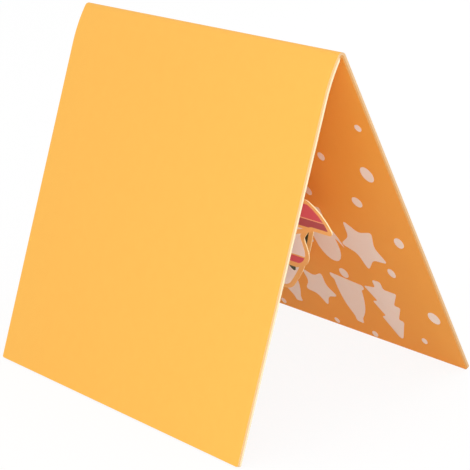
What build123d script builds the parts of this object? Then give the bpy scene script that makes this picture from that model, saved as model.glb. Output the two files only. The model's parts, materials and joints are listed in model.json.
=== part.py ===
"""A square pop-up greeting card, opened part way and stood on its two feet like a tent.

A plain cover and a printed liner are glued face to face and folded together. Beside the crease the front
panel still rolls over a little, as heavy card does. Inside, three cut-out layers hang parallel to the back
panel: each has a folded foot that is glued to the front panel, and pairs of folded struts tie the layers to
each other and to the back panel, so that the row folds flat when the card closes.

The crease runs along X. The front panel comes down towards -Y and the back panel towards +Y. The origin is
on the floor, at the middle of the card's box. Sizes are in millimetres and degrees.
"""

from build123d import *
from math import atan2, cos, degrees, radians, sin, tan
import os

# The folded card
card_width = 150.0            # along the crease
panel_length = 150.0          # from the middle of the crease to a foot, over the outer face
cover_thickness = 0.9
liner_thickness = 0.8
corner_radius = 0.8           # of the four corners at the feet
opening = 45.0                # between the flat parts of the two panels
crease_radius = 2.0           # of the crease's outer face
roll_length = 16.0            # of the front panel beside the crease that rolls over
roll_turn = 14.0              # by which it rolls over

# The pop-up's card and folds
layer_thickness = 0.45
strut_thickness = 0.4
bend_radius = 0.3             # inside a fold of the thin card
cut_radius = 2.4              # of the corners of a cut-out's outline
foot_tab = 4.0                # length of a layer's glued foot
tab_taper = 2.5               # by which a glued tab narrows at each side

# The basket, the layer nearest to the reader; heights are along the layer, from its foot
basket_distance = 38.0        # from the hinge line of the inner faces to the layer's foot
basket_foot_half = 34.0
basket_floor_height = 23.3
basket_floor_half = 59.5
basket_bulge = (64.0, 28.6)   # where the side bulges most
basket_tip_half = 66.2
basket_tip_height = 38.7
basket_rim_half = 55.5        # where the rim starts to rise
basket_top_height = 50.0

# The parcel and its two fir twigs, the middle layer
parcel_distance = 30.0
parcel_foot_half = 28.0
parcel_waist_height = 34.0
twig_tip_half = 50.0
twig_tip_height = 46.0
twig_top = (38.3, 57.0)       # where the twig ends at the parcel's side
parcel_corner = (37.2, 64.0)  # where the parcel's side starts to round over
parcel_round = (33.6, 70.6)   # a point of the round
parcel_top_half = 24.5
parcel_top_height = 75.0
sprig_half = 15.0             # the sprig that lies on the parcel
sprig_height = 7.0

# The snowy hill, the layer nearest to the back panel
hill_distance = 22.0
hill_foot_half = 30.0
hill_shoulder = (37.6, 63.5)  # where the slope starts
hill_slope = (26.3, 80.0)     # a point of the slope
hill_crown = (8.5, 99.5)      # where the slope meets the rounded crown
hill_top_height = 103.0

# The struts
strut_height = 28.0           # of the struts' roots, from the hinge line along the back panel
strut_width = 8.0
strut_tab = 6.0
strut_offset = 16.0           # from the card's middle to a strut's middle

tolerance = 0.001             # for finding edges by their length

card_thickness = cover_thickness + liner_thickness


def trace(start, heading, steps, depth):
    """The line that lies this far to the left of a run of straights and bends.

    A step of (length, 0) is straight. A step of (radius, turn) bends by the turn, to the left if positive.
    """
    way = Vector(1, 0).rotate(Axis.Z, heading)
    at = Vector(*start) + way.rotate(Axis.Z, 90) * depth
    line = Curve()
    for size, turn in steps:
        if turn:
            piece = JernArc(at, way, size - depth if turn > 0 else size + depth, turn)
        else:
            piece = Line(at, at + way * size)
        line += piece
        at, way = piece @ 1, piece % 1
    return line


def sheet_section(start, heading, steps, near, far):
    """The section of a folded sheet between two depths to the left of a run of straights and bends."""
    first, second = (trace(start, heading, steps, depth) for depth in (near, far))
    return make_face(first + second + Line(first @ 0, second @ 0) + Line(first @ 1, second @ 1))


def folded_card():
    """The steps of the card's outer face from the back foot to the front foot, their start and heading.

    The heading is the one at which the inner corners of both feet stand on the floor.
    """
    crease_turn = 180 - opening - roll_turn
    crease_share = crease_radius * radians(crease_turn) / 2
    steps = [
        (panel_length - crease_share, 0),
        (crease_radius, crease_turn),
        (roll_length / radians(roll_turn), roll_turn),
        (panel_length - crease_share - roll_length, 0),
    ]
    chord = trace((0, 0), 0, steps, card_thickness)
    chord = chord @ 1 - chord @ 0
    heading = 180 - degrees(atan2(chord.Y, chord.X))
    outer = trace((0, 0), heading, steps, 0)
    inner = trace((0, 0), heading, steps, card_thickness)
    middle = ((outer @ 0).X + (outer @ 1).X) / 2
    return steps, (-middle, -(inner @ 0).Y), heading


steps, back_foot, heading = folded_card()
back_lean = heading - 90
front_lean = opening - back_lean

# The hinge line is where the flat inner faces of the two panels would meet
inner = trace(back_foot, heading, steps, card_thickness)
hinge_height = ((inner @ 0).X - (inner @ 1).X) / (tan(radians(back_lean)) + tan(radians(front_lean)))
hinge = Vector(0, (inner @ 0).X - hinge_height * tan(radians(back_lean)), hinge_height)

# The pop-up's side view: x runs down the back panel's inner face, y out of it towards the front panel
down_back = Vector(0, sin(radians(back_lean)), -cos(radians(back_lean)))
side_view = Plane(origin=hinge, x_dir=down_back, z_dir=(-1, 0, 0))


def folded_ply(near, far):
    """A ply of the folded card between two depths under the outer face, with its feet's corners rounded."""
    section = Plane.YZ * sheet_section(back_foot, heading, steps, near, far)
    ply = extrude(section, amount=card_width / 2, both=True)
    through = [e for e in ply.edges().filter_by(GeomType.LINE) if abs(e.length - (far - near)) < tolerance]
    return fillet(through, corner_radius)


def layer_plane(distance):
    """The printed face of the layer whose foot is this far down the front panel: x along the crease, y up
    the layer from its foot."""
    run = radians(opening)
    foot = side_view.from_local_coords((distance * cos(run), distance * sin(run), 0))
    return Plane(origin=foot, x_dir=(1, 0, 0), z_dir=Vector(1, 0, 0).cross(down_back))


def stood_layer(distance, outline, foot_half):
    """A cut-out layer with its folded foot: a bent strip as wide as the card, trimmed to the outline."""
    reach = outline.bounding_box().max.Y
    radius = bend_radius + layer_thickness
    cut = radius * tan(radians(opening / 2))
    run = radians(opening)
    start = ((distance - foot_tab) * cos(run), (distance - foot_tab) * sin(run))
    bent = [(foot_tab - cut, 0), (radius, -opening), (reach - cut, 0)]
    section = side_view * sheet_section(start, opening, bent, 0, -layer_thickness)
    strip = extrude(section, card_width / 2, both=True)
    tab = make_face(Polyline(
        (-foot_half, layer_thickness), (foot_half, layer_thickness), (foot_half, 0),
        (foot_half - tab_taper, -foot_tab), (tab_taper - foot_half, -foot_tab), (-foot_half, 0), close=True))
    plane = layer_plane(distance)
    return strip & (extrude(plane * (outline + tab), foot_tab, both=True))


def strut(near, far, middle):
    """A folded strip between two parallel faces, this far out of the back panel's inner face."""
    run = radians(opening)
    gap = far - near - strut_thickness
    inner_cut, outer_cut = (r * tan(run / 2) for r in (bend_radius, bend_radius + strut_thickness))
    start = (strut_height + near / tan(run) - strut_tab, near)
    bent = [
        (strut_tab - outer_cut, 0),
        (bend_radius + strut_thickness, opening),
        (gap / sin(run) - outer_cut - inner_cut, 0),
        (bend_radius, -opening),
        (strut_tab - inner_cut, 0),
    ]
    section = side_view * sheet_section(start, 0, bent, 0, strut_thickness)
    return Pos(middle, 0, 0) * extrude(section, strut_width / 2, both=True)


def cut_out(right_side, top_height):
    """The face of an outline that is the same left and right, with an arc over its top and every corner
    rounded but the two at its foot."""
    foot, top = right_side @ 0, right_side @ 1
    lines = right_side + mirror(right_side, about=Plane.YZ)
    lines += Line(foot, (-foot.X, foot.Y))
    lines += ThreePointArc(top, (0, top_height), (-top.X, top.Y))
    face = make_face(lines)
    return fillet(face.vertices().sort_by(Axis.Y)[2:], cut_radius)


def basket_outline():
    """A wide basket with bulging sides on a narrower foot, and a rim that rises to the middle."""
    floor = (basket_floor_half, basket_floor_height)
    tip = (basket_tip_half, basket_tip_height)
    side = Polyline((basket_foot_half, 0), (basket_foot_half, basket_floor_height), floor)
    side += ThreePointArc(floor, basket_bulge, tip)
    side += Line(tip, (basket_rim_half, basket_tip_height))
    return cut_out(side, basket_top_height)


def parcel_outline():
    """A round-topped parcel with a fir twig leaning out at each side and a sprig lying on its top."""
    top = (parcel_top_half, parcel_top_height)
    side = Polyline(
        (parcel_foot_half, 0), (parcel_foot_half, parcel_waist_height), (twig_tip_half, twig_tip_height),
        twig_top, parcel_corner)
    side += ThreePointArc(parcel_corner, parcel_round, top)
    side += Line(top, (sprig_half, parcel_top_height))
    return cut_out(side, parcel_top_height + sprig_height)


def hill_outline():
    """A snowy hill with bulging slopes and a rounded crown."""
    side = Line((hill_foot_half, 0), hill_shoulder) + ThreePointArc(hill_shoulder, hill_slope, hill_crown)
    return cut_out(side, hill_top_height)


def layer_face(distance):
    """How far a layer's printed face stands out of the back panel's inner face."""
    return distance * sin(radians(opening))


parts = {
    "cover": folded_ply(0, cover_thickness),
    "liner": folded_ply(cover_thickness, card_thickness),
    "basket_layer": stood_layer(basket_distance, basket_outline(), basket_foot_half),
    "parcel_layer": stood_layer(parcel_distance, parcel_outline(), parcel_foot_half),
    "hill_layer": stood_layer(hill_distance, hill_outline(), hill_foot_half),
}
bays = {
    "hill": (0, layer_face(hill_distance) - layer_thickness),
    "parcel": (layer_face(hill_distance), layer_face(parcel_distance) - layer_thickness),
    "basket": (layer_face(parcel_distance), layer_face(basket_distance) - layer_thickness),
}
for name, (near, far) in bays.items():
    for side, middle in (("left", -strut_offset), ("right", strut_offset)):
        parts[f"{name}_strut_{side}"] = strut(near, far, middle)

os.makedirs("parts", exist_ok=True)
for name, solid in parts.items():
    export_step(solid, f"parts/{name}.step")
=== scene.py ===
import json
import math

import bmesh
import bpy
from mathutils import Matrix, Vector


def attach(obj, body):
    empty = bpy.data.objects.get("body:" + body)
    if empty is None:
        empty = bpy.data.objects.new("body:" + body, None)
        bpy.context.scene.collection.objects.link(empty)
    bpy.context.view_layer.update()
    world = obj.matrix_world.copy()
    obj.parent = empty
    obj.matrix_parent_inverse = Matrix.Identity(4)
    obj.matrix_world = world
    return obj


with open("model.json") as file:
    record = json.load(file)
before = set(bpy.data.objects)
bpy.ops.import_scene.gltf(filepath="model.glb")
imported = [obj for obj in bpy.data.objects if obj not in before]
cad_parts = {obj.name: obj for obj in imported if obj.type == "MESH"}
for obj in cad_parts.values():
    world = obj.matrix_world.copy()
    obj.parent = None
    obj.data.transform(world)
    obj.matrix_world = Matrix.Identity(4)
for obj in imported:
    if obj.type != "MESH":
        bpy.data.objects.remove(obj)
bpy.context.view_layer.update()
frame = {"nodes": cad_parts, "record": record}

# The folded card
# Two square panels of heavy card, each a cover and a liner glued face to face, lean together at their crease
# and stand on their feet. The record's two flat mounts give the panels' outer faces, and the hinge line is
# where their inner faces would meet.
mm = 0.001
card_thickness = 1.7 * mm
mounts = {m["name"]: m for m in frame["record"]["mounts"]}


def inner_face(mount):
    """A point on a panel's inner face, and the directions out of that face and down it from the crease."""
    outwards = Vector(mounts[mount]["axis"])
    down = Vector((0, outwards.z, -outwards.y))
    down *= -math.copysign(1, down.z)
    return Vector(mounts[mount]["pos_m"]) - outwards * card_thickness, -outwards, down


on_back, out_of_back, down_back = inner_face("back_panel_face")
on_front, out_of_front, down_front = inner_face("front_panel_face")
hinge = on_back + down_back * ((on_front - on_back).dot(out_of_front) / down_back.dot(out_of_front))
opening = down_back.angle(down_front)

# The cover
# The outer ply is one sheet of heavy card, printed an even yellow-orange outside and creased in the middle.
# Where it is cut, at the sides and the feet, the dyed card shows a paler orange; on the back panel these
# cut edges are painted darker, as shade.
cover_ink = (0.97, 0.497, 0.076)
cover_core = (0.80, 0.51, 0.23)
# The back panel's cut edges are painted this darker orange as shade.
cover_core_in_painted_shade = (0.70, 0.45, 0.23)
roughness, gloss = 0.62, 0.4
mottle_scale, fibre_scale, fibre_height = 240, 2600, 0.03 * mm
mottle_tint = (0.995, 0.98, 0.96)
streak_scale, streak_shade = 900, 0.9


def node(tree, kind, inputs=(), **settings):
    """Adds a shader node, with its settings, and its inputs as numbers, colours or links."""
    made = tree.nodes.new("ShaderNode" + kind)
    for name, value in settings.items():
        setattr(made, name, value)
    for socket, value in dict(inputs).items():
        if isinstance(value, bpy.types.NodeSocket):
            tree.links.new(value, made.inputs[socket])
        else:
            made.inputs[socket].default_value = value
    return made


def card_stock(name, ink):
    """Printed card: an even ink with a faint mottle, over the card's fine fibre. Gives the material, its node
    tree and the socket that carries the ink."""
    material = bpy.data.materials.new(name)
    material.use_nodes = True
    tree = material.node_tree
    surface = tree.nodes["Principled BSDF"]
    surface.inputs["Roughness"].default_value = roughness
    surface.inputs["Specular IOR Level"].default_value = gloss
    place = node(tree, "TexCoord").outputs["Object"]
    mottle = node(tree, "TexNoise", {"Vector": place, "Scale": mottle_scale, "Detail": 4})
    shade = node(tree, "ValToRGB", {"Fac": mottle.outputs["Fac"]})
    deep, pale = shade.color_ramp.elements
    deep.position, pale.position = 0.3, 0.7
    deep.color = (*(part * tint for part, tint in zip(ink, mottle_tint)), 1)
    pale.color = (*ink, 1)
    tree.links.new(shade.outputs["Color"], surface.inputs["Base Color"])
    fibre = node(tree, "TexNoise", {"Vector": place, "Scale": fibre_scale, "Detail": 5, "Roughness": 0.65})
    bump = node(tree, "Bump", {"Height": fibre.outputs["Fac"], "Strength": 0.3, "Distance": fibre_height})
    tree.links.new(bump.outputs["Normal"], surface.inputs["Normal"])
    return material, tree, shade.outputs["Color"]


def bared(tree, ink, core, where, painted_shade_core=None):
    """Shows the card's bare core, streaked by the knife, where the socket is 1, and the ink elsewhere. On the
    back panel the core may take a darker copy of its colour, which is painted shade."""
    place = tree.nodes["Texture Coordinate"].outputs["Object"]
    streaks = node(tree, "TexNoise", {"Vector": place, "Scale": streak_scale, "Detail": 3})
    depth = node(tree, "SeparateXYZ", {"Vector": place}).outputs["Y"]
    # On the back panel the core turns to its darker copy: painted shade.
    on_back_panel = node(tree, "Math", {0: depth, 1: hinge.y}, operation="GREATER_THAN").outputs[0]
    fresh = node(tree, "Mix", {"Factor": on_back_panel, "A": (*core, 1), "B": (*(painted_shade_core or core), 1)},
                 data_type="RGBA").outputs["Result"]
    dark = node(tree, "Mix", {"Factor": 1.0, "A": fresh, "B": (*(streak_shade,) * 3, 1)}, data_type="RGBA",
                blend_type="MULTIPLY").outputs["Result"]
    shade = node(tree, "Mix", {"Factor": streaks.outputs["Fac"], "A": dark, "B": fresh}, data_type="RGBA")
    mix = node(tree, "Mix", {"Factor": where, "A": ink, "B": shade.outputs["Result"]}, data_type="RGBA")
    tree.links.new(mix.outputs["Result"], tree.nodes["Principled BSDF"].inputs["Base Color"])


def panel_cuts(tree):
    """1 on the cut edges at the sides and the feet of the two panels."""
    foot_top, steep = 3 * mm, 0.7
    normal = node(tree, "SeparateXYZ", {"Vector": node(tree, "NewGeometry").outputs["True Normal"]})
    height = node(tree, "SeparateXYZ", {"Vector": tree.nodes["Texture Coordinate"].outputs["Object"]})
    across = node(tree, "Math", {0: normal.outputs["X"]}, operation="ABSOLUTE")
    side = node(tree, "Math", {0: across.outputs[0], 1: steep}, operation="GREATER_THAN")
    under = node(tree, "Math", {0: normal.outputs["Z"], 1: -steep}, operation="LESS_THAN")
    low = node(tree, "Math", {0: height.outputs["Z"], 1: foot_top}, operation="LESS_THAN")
    foot = node(tree, "Math", {0: under.outputs[0], 1: low.outputs[0]}, operation="MULTIPLY")
    return node(tree, "Math", {0: side.outputs[0], 1: foot.outputs[0]}, operation="MAXIMUM").outputs[0]


def clothe(name, material):
    """Gives a CAD node its finish."""
    mesh = frame["nodes"][name].data
    mesh.materials.clear()
    mesh.materials.append(material)


cover_card, tree, ink = card_stock("yellow_orange_cover", cover_ink)
bared(tree, ink, cover_core, panel_cuts(tree), cover_core_in_painted_shade)
clothe("cover", cover_card)

# The liner
# The inner ply is glued to the cover face to face and folded with it. It is off-white card, printed orange
# inside, so its cut edges are cream; on the back panel they are painted a dark orange, as shade.
liner_ink = (0.87, 0.385, 0.058)
liner_core = (0.87, 0.73, 0.48)
# The back panel's cut edges are painted this dark orange as shade.
liner_core_in_painted_shade = (0.63, 0.30, 0.085)
liner_card, tree, ink = card_stock("orange_liner", liner_ink)
bared(tree, ink, liner_core, panel_cuts(tree), liner_core_in_painted_shade)
clothe("liner", liner_card)

# The snow
# Round flakes in the liner's off-white: bare spots in the orange print, a little uneven, scattered over both
# panels. Each is a film that hardly stands out of the card, listed by how far it is across the panel, how far
# down from the hinge line, and how wide, in millimetres.
film = 0.03 * mm
flake_corners = 28
flake_rim = 0.1
flake_flatness = 0.9
white_ink = (0.89, 0.82, 0.75)
back_flakes = (
    (-67.8, 35.4, 3.4), (-38.9, 54.6, 4.0), (-62.1, 57.9, 7.0), (-49.3, 74.1, 5.3), (-64.5, 90.1, 5.3),
    (-52.5, 108.5, 4.4), (-67.4, 127.0, 6.2), (-55.8, 142.7, 3.2), (-21.1, 75.2, 4.6), (-2.4, 149.0, 3.0),
    (-25.0, 149.2, 3.4), (-53.0, 21.5, 4.4), (-29.0, 31.0, 6.2), (-8.5, 45.0, 3.6), (6.5, 66.0, 5.4),
    (14.0, 24.5, 4.8), (27.5, 48.5, 3.8), (33.0, 78.0, 5.0), (45.5, 30.5, 6.4), (53.0, 61.5, 4.2),
    (60.5, 84.5, 6.8), (68.0, 46.0, 3.4), (54.5, 103.5, 4.0), (67.0, 115.0, 5.0), (58.0, 133.5, 6.4),
    (69.5, 143.0, 3.4), (31.0, 148.6, 3.2),
)
front_flakes = (
    (-64.0, 34.0, 4.2), (-45.0, 52.0, 6.0), (-66.0, 66.0, 3.6), (-24.0, 58.0, 3.4), (-38.0, 81.0, 4.6),
    (-60.5, 95.0, 6.8), (-14.0, 84.0, 5.6), (-30.0, 108.0, 3.8), (-50.0, 124.0, 4.4), (-68.0, 139.0, 5.2),
    (-18.0, 131.0, 6.4), (3.0, 64.0, 4.4), (10.0, 101.0, 3.6), (21.0, 75.0, 6.2), (6.0, 142.0, 4.0),
    (37.0, 93.0, 4.2), (28.0, 119.0, 6.6), (46.0, 60.0, 3.8), (60.0, 78.0, 5.2), (53.0, 108.0, 3.6),
    (48.0, 136.0, 5.0), (66.0, 126.0, 4.4), (64.0, 50.0, 6.0),
)


def face_place(origin, up, out):
    """The matrix of a printed face: x across it, y up the print and z out of the card."""
    across = up.cross(out)
    return Matrix.Translation(origin) @ Matrix((across, up, out)).transposed().to_4x4()


def only(pieces):
    """Selects these objects alone, the last one active."""
    bpy.ops.object.select_all(action="DESELECT")
    for piece in pieces:
        piece.select_set(True)
    bpy.context.view_layer.objects.active = pieces[-1]


def printed(name, sheets, face, ink, height=1):
    """Joins flat sheets, drawn in a face's own frame, into one layer of ink on that face. Its height is a
    number of films."""
    only(sheets)
    if len(sheets) > 1:
        bpy.ops.object.join()
    piece = bpy.context.object
    piece.name = name
    bpy.ops.object.transform_apply()
    bpy.ops.object.modifier_add(type="SOLIDIFY")
    body = piece.modifiers[-1]
    body.thickness, body.offset = height * film, 1
    bpy.ops.object.modifier_apply(modifier=body.name)
    piece.matrix_world = face
    bpy.ops.object.transform_apply()
    piece.data.materials.clear()
    piece.data.materials.append(ink)
    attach(piece, "root")


def flakes(places):
    """One round sheet for each place, with a rim, pressed a little flat and each turned another way."""
    made = []
    for turn, (across, down, width) in enumerate(places):
        bpy.ops.mesh.primitive_circle_add(
            vertices=flake_corners, radius=width / 2 * mm, fill_type="NGON", enter_editmode=True,
            location=(across * mm, down * mm, 0), rotation=(0, 0, turn))
        bpy.ops.mesh.inset(thickness=flake_rim * width * mm)
        bpy.ops.object.mode_set(mode="OBJECT")
        bpy.context.object.scale.y = flake_flatness
        made.append(bpy.context.object)
    return made


white = card_stock("bare_white_card", white_ink)[0]
back_face = face_place(hinge, down_back, out_of_back)
front_face = face_place(hinge, down_front, out_of_front)
printed("snow_on_back_panel", flakes(back_flakes), back_face, white)
printed("snow_on_front_panel", flakes(front_flakes), front_face, white)

# The two rows of motifs
# On the back panel the off-white card shows in two rows of plain winter shapes, drawn to be read with the
# crease at the bottom: fir trees, bells, mittens, stars and a snow crystal.
near_crease, near_foot = 98, 131
match = 0.1    # how closely a height or a distance on a motif is matched


def pick(elements, wanted):
    """Selects just these corners, edges or faces of the mesh in edit mode."""
    bpy.ops.mesh.select_all(action="DESELECT")
    for element in elements:
        if wanted(element):
            element.select_set(True)


def drawn_up(rows):
    """A flat sheet drawn upwards: a bar whose upper edge is extruded and widened from row to row. Each row
    is its height and its half width, in millimetres."""
    (low, first), (high, second) = ((y * mm, half * mm) for y, half in rows[:2])
    bpy.ops.mesh.primitive_plane_add(size=1, enter_editmode=True, location=(0, (low + high) / 2, 0))
    bpy.ops.transform.resize(value=(2 * first, high - low, 1), center_override=(0, (low + high) / 2, 0))
    sheet = bmesh.from_edit_mesh(bpy.context.object.data)
    pick(sheet.verts, lambda v: v.co.y > 0)
    sheet.select_flush(True)
    bpy.ops.transform.resize(value=(second / first, 1, 1), center_override=(0, high, 0))
    for (y0, half0), (y1, half1) in zip(rows[1:], rows[2:]):
        bpy.ops.mesh.extrude_region_move(TRANSFORM_OT_translate={"value": (0, (y1 - y0) * mm, 0)})
        bpy.ops.transform.resize(value=(half1 / half0, 1, 1), center_override=(0, y1 * mm, 0))
    bpy.ops.object.mode_set(mode="OBJECT")
    return bpy.context.object


def turn_at(v):
    """By how much an outline turns at one of its corners."""
    before, after = (edge.other_vert(v).co - v.co for edge in v.link_edges)
    return before.angle(-after)


def softened(piece, rounding):
    """Makes a flat sheet one face, and rounds the sharp corners of its outline."""
    sharp = math.radians(30)
    only([piece])
    bpy.ops.object.mode_set(mode="EDIT")
    bpy.ops.mesh.select_all(action="SELECT")
    bpy.ops.mesh.dissolve_faces()
    pick(bmesh.from_edit_mesh(piece.data).verts, lambda v: turn_at(v) > sharp)
    bpy.ops.mesh.bevel(affect="VERTICES", offset=rounding * mm, segments=3)
    bpy.ops.object.mode_set(mode="OBJECT")
    return piece


def fir(size=1.0):
    """A fir tree of three tiers on a short trunk."""
    rows = [(-15, 2.3), (-11, 2.3), (-10.4, 9.4), (-3.4, 4.6), (-2.9, 8.0), (4.2, 3.6), (4.7, 6.4), (15, 0.9)]
    return softened(drawn_up([(y * size, half * size) for y, half in rows]), rounding=1.1 * size)


def bell():
    """A bell with a lip, a domed top and a knob, and its clapper below."""
    dome_low, dome_half, dome_rise, fullness, steps = -7.4, 7.6, 18.4, 0.45, 8
    clapper_radius, clapper_up = 2.5, -13.6
    rows = [(-10.4, 9.4), (-8.2, 9.4), (dome_low, dome_half)]
    for step in range(1, steps):
        share = step / steps
        rows.append((dome_low + dome_rise * share, dome_half * math.cos(share * math.pi / 2) ** fullness))
    knob = [(11.2, 2.1), (13.8, 2.1)]
    cup = softened(drawn_up(rows + knob), rounding=0.9)
    bpy.ops.mesh.primitive_circle_add(
        vertices=20, radius=clapper_radius * mm, fill_type="NGON", location=(0, clapper_up * mm, 0))
    only([bpy.context.object, cup])
    bpy.ops.object.join()
    return bpy.context.object


def star(radius=13.0):
    """A plump star: a circle of ten corners, of which those between its five points are drawn in."""
    waist, point_turn = 0.54, 360 // 5
    bpy.ops.mesh.primitive_circle_add(vertices=10, radius=radius * mm, fill_type="NGON", enter_editmode=True)
    sheet = bmesh.from_edit_mesh(bpy.context.object.data)
    pick(sheet.verts, lambda v: round(math.degrees(math.atan2(v.co.y, v.co.x)) - 90) % point_turn != 0)
    bpy.ops.transform.resize(value=(waist, waist, 1), center_override=(0, 0, 0))
    bpy.ops.object.mode_set(mode="OBJECT")
    return softened(bpy.context.object, rounding=1.9)


def mitten(side):
    """A mitten: a cuff, a hand with a round top, and a thumb drawn out of it to the side."""
    wrist, knuckle, hand_half, top_low, top_rise = -6.0, 0.5, 6.9, 3.5, 10.2
    thumb = ((2.0, 2.6, 0.85), (1.3, 2.6, 0.75), (0.5, 1.6, 0.55))    # aside, up, share of the width kept
    rows = [(-14.5, 6.0), (-10.2, 6.0), (-9.4, 5.0), (wrist, 5.6), (knuckle, 6.8)]
    for share in (0.0, 0.35, 0.6, 0.8, 0.93, 0.99):
        rows.append((top_low + top_rise * share, hand_half * math.sqrt(1 - share * share)))
    piece = drawn_up(rows)
    bpy.ops.object.transform_apply()
    bpy.ops.object.mode_set(mode="EDIT")
    sheet = bmesh.from_edit_mesh(piece.data)
    pick(sheet.edges, lambda e: all(
        v.co.x * side > 0 and (wrist - match) * mm < v.co.y < (knuckle + match) * mm for v in e.verts))
    for aside, up, share in thumb:
        bpy.ops.mesh.extrude_region_move(TRANSFORM_OT_translate={"value": (side * aside * mm, up * mm, 0)})
        ends = [v.co for v in sheet.verts if v.select]
        bpy.ops.transform.resize(value=(share, share, 1), center_override=sum(ends, Vector()) / len(ends))
    bpy.ops.object.mode_set(mode="OBJECT")
    return softened(piece, rounding=0.8)


def across_arm(edge, out, along, low, high):
    """Whether an edge's middle is this far along an arm and between these distances from the arm's line."""
    middle = (edge.verts[0].co + edge.verts[1].co) / 2
    aside = middle.dot(Vector((-out.y, out.x, 0)))
    return abs(middle.dot(out) - along * mm) < match * mm and low * mm < aside < high * mm


def snow_crystal():
    """A snow crystal: six arms drawn out of a small hexagon, each with two pairs of branches."""
    radius, arm_width, sixth = 2.7, 2.16, 60
    arm = ((4.9, arm_width / radius), (6.7, 1), (7.8, 1), (9.4, 0.95), (11.8, 0.8))    # reach and widening
    branches = ((5.8, 2.0), (8.6, 2.4))    # how far along the arm, and how long
    beside = (0.3 * arm_width, arm_width)
    bpy.ops.mesh.primitive_circle_add(vertices=6, radius=radius * mm, fill_type="NGON", enter_editmode=True)
    piece = bpy.context.object
    sheet = bmesh.from_edit_mesh(piece.data)
    hub = radius * math.cos(math.pi / 6)
    for turn in range(0, 360, sixth):
        out = Vector((math.cos(math.radians(turn)), math.sin(math.radians(turn)), 0))
        pick(sheet.edges, lambda e: across_arm(e, out, hub, -match, match))
        here = hub
        for reach, share in arm:
            bpy.ops.mesh.extrude_region_move(TRANSFORM_OT_translate={"value": out * (reach - here) * mm})
            bpy.ops.transform.resize(value=(share, share, 1), center_override=out * reach * mm)
            here = reach
        for along, reach in branches:
            for side in (-1, 1):
                low, high = sorted(side * distance for distance in beside)
                pick(sheet.edges, lambda e: across_arm(e, out, along, low, high))
                way = math.radians(turn + side * sixth)
                branch = Vector((math.cos(way), math.sin(way), 0)) * reach * mm
                bpy.ops.mesh.extrude_region_move(TRANSFORM_OT_translate={"value": branch})
    bpy.ops.object.mode_set(mode="OBJECT")
    return softened(piece, rounding=0.6)


def set_out(motif, places):
    """One motif at each place: how far across the panel, how far down from the hinge line, and its turn."""
    only([motif])
    bpy.ops.object.transform_apply()
    made = []
    for across, down, turn in places:
        only([motif])
        bpy.ops.object.duplicate()
        copy = bpy.context.object
        copy.location = (across * mm, down * mm, 0)
        copy.rotation_euler.z = math.radians(turn)
        made.append(copy)
    bpy.data.objects.remove(motif)
    return made


rows_of_motifs = {
    "fir_trees": set_out(fir(), ((-41, near_foot, 3), (41, near_foot, -3))),
    "bells": set_out(bell(), ((-20, near_foot, -6), (20, near_foot, 6))),
    "stars": (set_out(star(10.6), ((0, near_foot, 4),))
              + set_out(star(), ((-41, near_crease, -9), (41, near_crease, 9)))),
    "mittens": (set_out(mitten(-1), ((-18.5, near_crease, 4),))
                + set_out(mitten(1), ((18.5, near_crease, -4),))),
    "snow_crystals": set_out(snow_crystal(), ((0, near_crease, 30),)),
}
for name, sheets in rows_of_motifs.items():
    printed(name + "_on_back_panel", sheets, back_face, white)

# The pop-up's card
# The three layers and their folded struts are thinner card, glued by their tabs, printed orange on the face
# towards the reader and bare on the other. The orange shows as a margin round each print, and the cut edges
# are pale.
layer_ink = (1.0, 0.60, 0.20)
layer_core = (1.0, 0.82, 0.48)


def bare_side(tree):
    """1 on the side away from the reader and on the cut edges, 0 on the printed side."""
    facing = 0.5
    normal = node(tree, "NewGeometry").outputs["True Normal"]
    towards = node(tree, "VectorMath", {0: normal, 1: out_of_back}, operation="DOT_PRODUCT")
    return node(tree, "Math", {0: towards.outputs["Value"], 1: facing}, operation="LESS_THAN").outputs[0]


pop_up_card, tree, ink = card_stock("orange_pop_up_card", layer_ink)
bared(tree, ink, layer_core, bare_side(tree))
for name in frame["nodes"]:
    if name.endswith("_layer") or "_strut_" in name:
        clothe(name, pop_up_card)

# The hill layer
# The layer nearest to the back panel, glued to the front panel by its folded foot: a snowy hill in cream,
# with a dark wood at each shoulder and a fir tree above it on the slope. Its print is a sheet with the
# layer's own outline, a margin smaller all round.
print_margin = 2.0 * mm
same_corner, tight_corner = 0.001 * mm, 0.05 * mm    # corners this near are merged, before and after an inset
wood_low, wood_high, wood_inner = 60, 74, 27
tree_across, tree_up, tree_size = 13.2, 78.3, 0.8
cream_ink = (0.99, 0.99, 0.99)
green_ink = (0.045, 0.060, 0.018)


def layer_face(name):
    """The place of a layer's printed face, from the middle of the fold at its foot."""
    mesh = frame["nodes"][name].data
    stands_out = max((v.co - hinge).dot(out_of_back) for v in mesh.vertices)
    foot = hinge + down_back * stands_out / math.tan(opening) + out_of_back * stands_out
    return face_place(foot, down_back, out_of_back)


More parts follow.
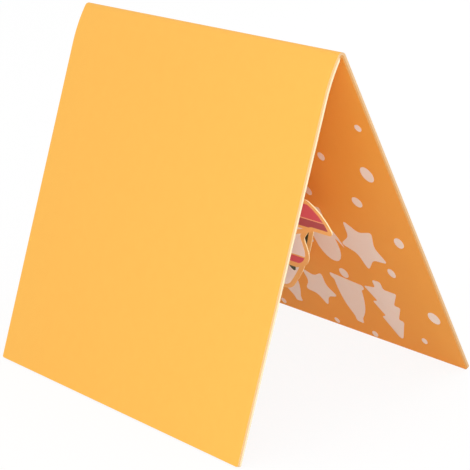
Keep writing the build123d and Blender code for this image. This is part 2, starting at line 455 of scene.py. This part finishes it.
def field(name):
    """A flat sheet with a layer's own outline less the margin all round, in its printed face's own frame."""
    square_on = 0.99
    piece = bpy.data.objects.new(name + "_field", frame["nodes"][name].data.copy())
    bpy.context.collection.objects.link(piece)
    piece.matrix_world = layer_face(name).inverted()
    only([piece])
    bpy.ops.object.transform_apply()
    bpy.ops.mesh.customdata_custom_splitnormals_clear()
    bpy.ops.object.shade_flat()
    bpy.ops.object.mode_set(mode="EDIT")
    bpy.ops.mesh.select_all(action="SELECT")
    bpy.ops.mesh.remove_doubles(threshold=same_corner)
    # Only the printed side stays, as one face
    sheet = bmesh.from_edit_mesh(piece.data)
    pick(sheet.faces, lambda face: face.normal.z < square_on)
    bpy.ops.mesh.delete(type="FACE")
    bpy.ops.mesh.select_all(action="SELECT")
    bpy.ops.mesh.dissolve_faces()
    # The inset leaves its inner face selected, and the rim round it goes
    bpy.ops.mesh.inset(thickness=print_margin)
    bpy.ops.mesh.select_mode(type="FACE")
    bpy.ops.mesh.select_all(action="INVERT")
    bpy.ops.mesh.delete(type="FACE")
    bpy.ops.mesh.select_mode(type="VERT")
    bpy.ops.mesh.select_all(action="SELECT")
    bpy.ops.mesh.remove_doubles(threshold=tight_corner)
    bpy.ops.object.mode_set(mode="OBJECT")
    return piece


def part_of(piece, low=None, high=None, left=None, right=None):
    """A copy of a field cut to these heights up the layer and these distances across it."""
    only([piece])
    bpy.ops.object.duplicate()
    cut = bpy.context.object
    bpy.ops.object.mode_set(mode="EDIT")
    across, up = Vector((1, 0, 0)), Vector((0, 1, 0))
    limits = ((low, up, True), (high, up, False), (left, across, True), (right, across, False))
    for limit, axis, below in limits:
        if limit is not None:
            bpy.ops.mesh.select_all(action="SELECT")
            bpy.ops.mesh.bisect(
                plane_co=axis * limit * mm, plane_no=axis, clear_inner=below, clear_outer=not below)
    bpy.ops.object.mode_set(mode="OBJECT")
    return cut


cream = card_stock("cream_print", cream_ink)[0]
green = card_stock("dark_green_print", green_ink)[0]
hill_face = layer_face("hill_layer")
hill_field = field("hill_layer")
woods = [
    part_of(hill_field, wood_low, wood_high, left=wood_inner),
    part_of(hill_field, wood_low, wood_high, right=-wood_inner),
]
printed("hill_snow", [hill_field], hill_face, cream)
trees = []
for across in (-tree_across, tree_across):
    trees.append(fir(tree_size))
    trees[-1].location += Vector((across * mm, tree_up * mm, 0))
printed("hill_firs", trees + woods, hill_face, green, height=2)

# The parcel layer
# The middle layer, on a folded foot like the hill's: a cream parcel with a red ribbon and a red lid, and a
# sprig of fir on top. The cream runs on over the snow-covered boughs at its sides.
red_ink = (0.74, 0.11, 0.15)
wrap_low, wrap_high = 2.5, 67.5
ribbon_half, ribbon_gap = 4, 0.6
lid_low, lid_high = 68.3, 72.2
sprig_low = 74.2
red = card_stock("red_print", red_ink)[0]
parcel_face = layer_face("parcel_layer")
parcel_field = field("parcel_layer")
side_panels = [
    part_of(parcel_field, wrap_low, wrap_high, left=ribbon_half + ribbon_gap),
    part_of(parcel_field, wrap_low, wrap_high, right=-ribbon_half - ribbon_gap),
]
ribbon = part_of(parcel_field, wrap_low, wrap_high, left=-ribbon_half, right=ribbon_half)
printed("parcel_sides", side_panels, parcel_face, cream)
printed("parcel_ribbon", [ribbon], parcel_face, red)
printed("parcel_lid", [part_of(parcel_field, lid_low, lid_high)], parcel_face, red)
printed("parcel_sprig", [part_of(parcel_field, sprig_low)], parcel_face, green)
bpy.data.objects.remove(parcel_field)

# The basket layer
# The layer nearest to the reader, on a folded foot too: a red basket filled with snow. It has a darker rim,
# with a thin pale line printed below it.
rim_ink = (0.48, 0.09, 0.105)
accent_ink = (0.98, 0.52, 0.30)
side_low, line_low, line_high, rim_high = 25.3, 32.6, 33.2, 37.4
snow_low = 38.9
rim_red = card_stock("dark_red_print", rim_ink)[0]
accent = card_stock("pale_orange_print", accent_ink)[0]
basket_face = layer_face("basket_layer")
basket_field = field("basket_layer")
printed("basket_side", [part_of(basket_field, side_low, line_low)], basket_face, red)
printed("basket_line", [part_of(basket_field, line_low, line_high)], basket_face, accent)
printed("basket_rim", [part_of(basket_field, line_high, rim_high)], basket_face, rim_red)
printed("basket_snow", [part_of(basket_field, snow_low)], basket_face, cream)
bpy.data.objects.remove(basket_field)

# The camera
# It stands where the photograph was taken from: off the card's right end and a little above it. Its angles
# are how far it turns from looking along +Y, how far it looks down and how far it leans to a side. Its place
# is in metres.
view_azimuth, view_elevation, view_roll = (math.radians(a) for a in (51.18, 18.84, -3.82))
view_lens = 139.48
eye = Vector((0.5278, -0.4176, 0.2836))
bpy.ops.object.camera_add()
camera = bpy.context.object
camera.data.lens = view_lens
camera.matrix_world = (
    Matrix.Translation(eye)
    @ Matrix.Rotation(view_azimuth, 4, "Z")
    @ Matrix.Rotation(math.pi / 2 - view_elevation, 4, "X")
    @ Matrix.Rotation(view_roll, 4, "Z")
)
bpy.context.scene.camera = camera

# The studio
# A wide pale floor, an even white light from all round, a large soft lamp beyond the card's right end and a
# weaker one behind it. The camera sees the floor and what is round it as white, with a soft shadow. Widths
# and distances are in metres.
floor_width, floor_colour = 6, 0.72
glow_share, glow_strength = 0.85, 1.05
lamp_width, lamp_distance = 0.5, 0.8
lamps = ((3.2, 60, 8), (1.0, 180, 20))    # watts, degrees round from the front, degrees up
light_all_round, seen_all_round = 0.9, 1
bounces_in_the_tent = 12
bpy.ops.mesh.primitive_plane_add(size=floor_width)
floor = bpy.context.object
floor.name = "floor"
paper = bpy.data.materials.new("studio_floor")
paper.use_nodes = True
tree = paper.node_tree
surface = tree.nodes["Principled BSDF"]
surface.inputs["Base Color"].default_value = (*(floor_colour,) * 3, 1)
surface.inputs["Roughness"].default_value = 1
rays = node(tree, "LightPath").outputs
either = {0: rays["Is Camera Ray"], 1: rays["Is Glossy Ray"]}
seen = node(tree, "Math", either, operation="MAXIMUM").outputs[0]
share = node(tree, "Math", {0: seen, 1: glow_share}, operation="MULTIPLY").outputs[0]
glow = node(tree, "Emission", {"Color": (1, 1, 1, 1), "Strength": glow_strength}).outputs["Emission"]
mix = node(tree, "MixShader", {0: share, 1: surface.outputs["BSDF"], 2: glow})
tree.links.new(mix.outputs["Shader"], tree.nodes["Material Output"].inputs["Surface"])
floor.data.materials.append(paper)

for power, *angles in lamps:
    azimuth, elevation = (math.radians(a) for a in angles)
    towards_lamp = Vector((math.sin(azimuth), -math.cos(azimuth), math.tan(elevation))).normalized()
    bpy.ops.object.light_add(
        type="AREA", location=hinge / 2 + towards_lamp * lamp_distance,
        rotation=towards_lamp.to_track_quat("Z", "Y").to_euler())
    lamp = bpy.context.object.data
    lamp.shape, lamp.size, lamp.energy = "DISK", lamp_width, power

world = bpy.data.worlds.new("studio")
bpy.context.scene.world = world
world.use_nodes = True
tree = world.node_tree
background = tree.nodes["Background"]
background.inputs["Color"].default_value = (1, 1, 1, 1)
by_camera = node(tree, "LightPath").outputs["Is Camera Ray"]
light = node(tree, "MapRange", {"Value": by_camera, "To Min": light_all_round, "To Max": seen_all_round})
tree.links.new(light.outputs["Result"], background.inputs["Strength"])

bpy.context.scene.cycles.diffuse_bounces = bounces_in_the_tent
bpy.context.scene.view_settings.view_transform = "Standard"
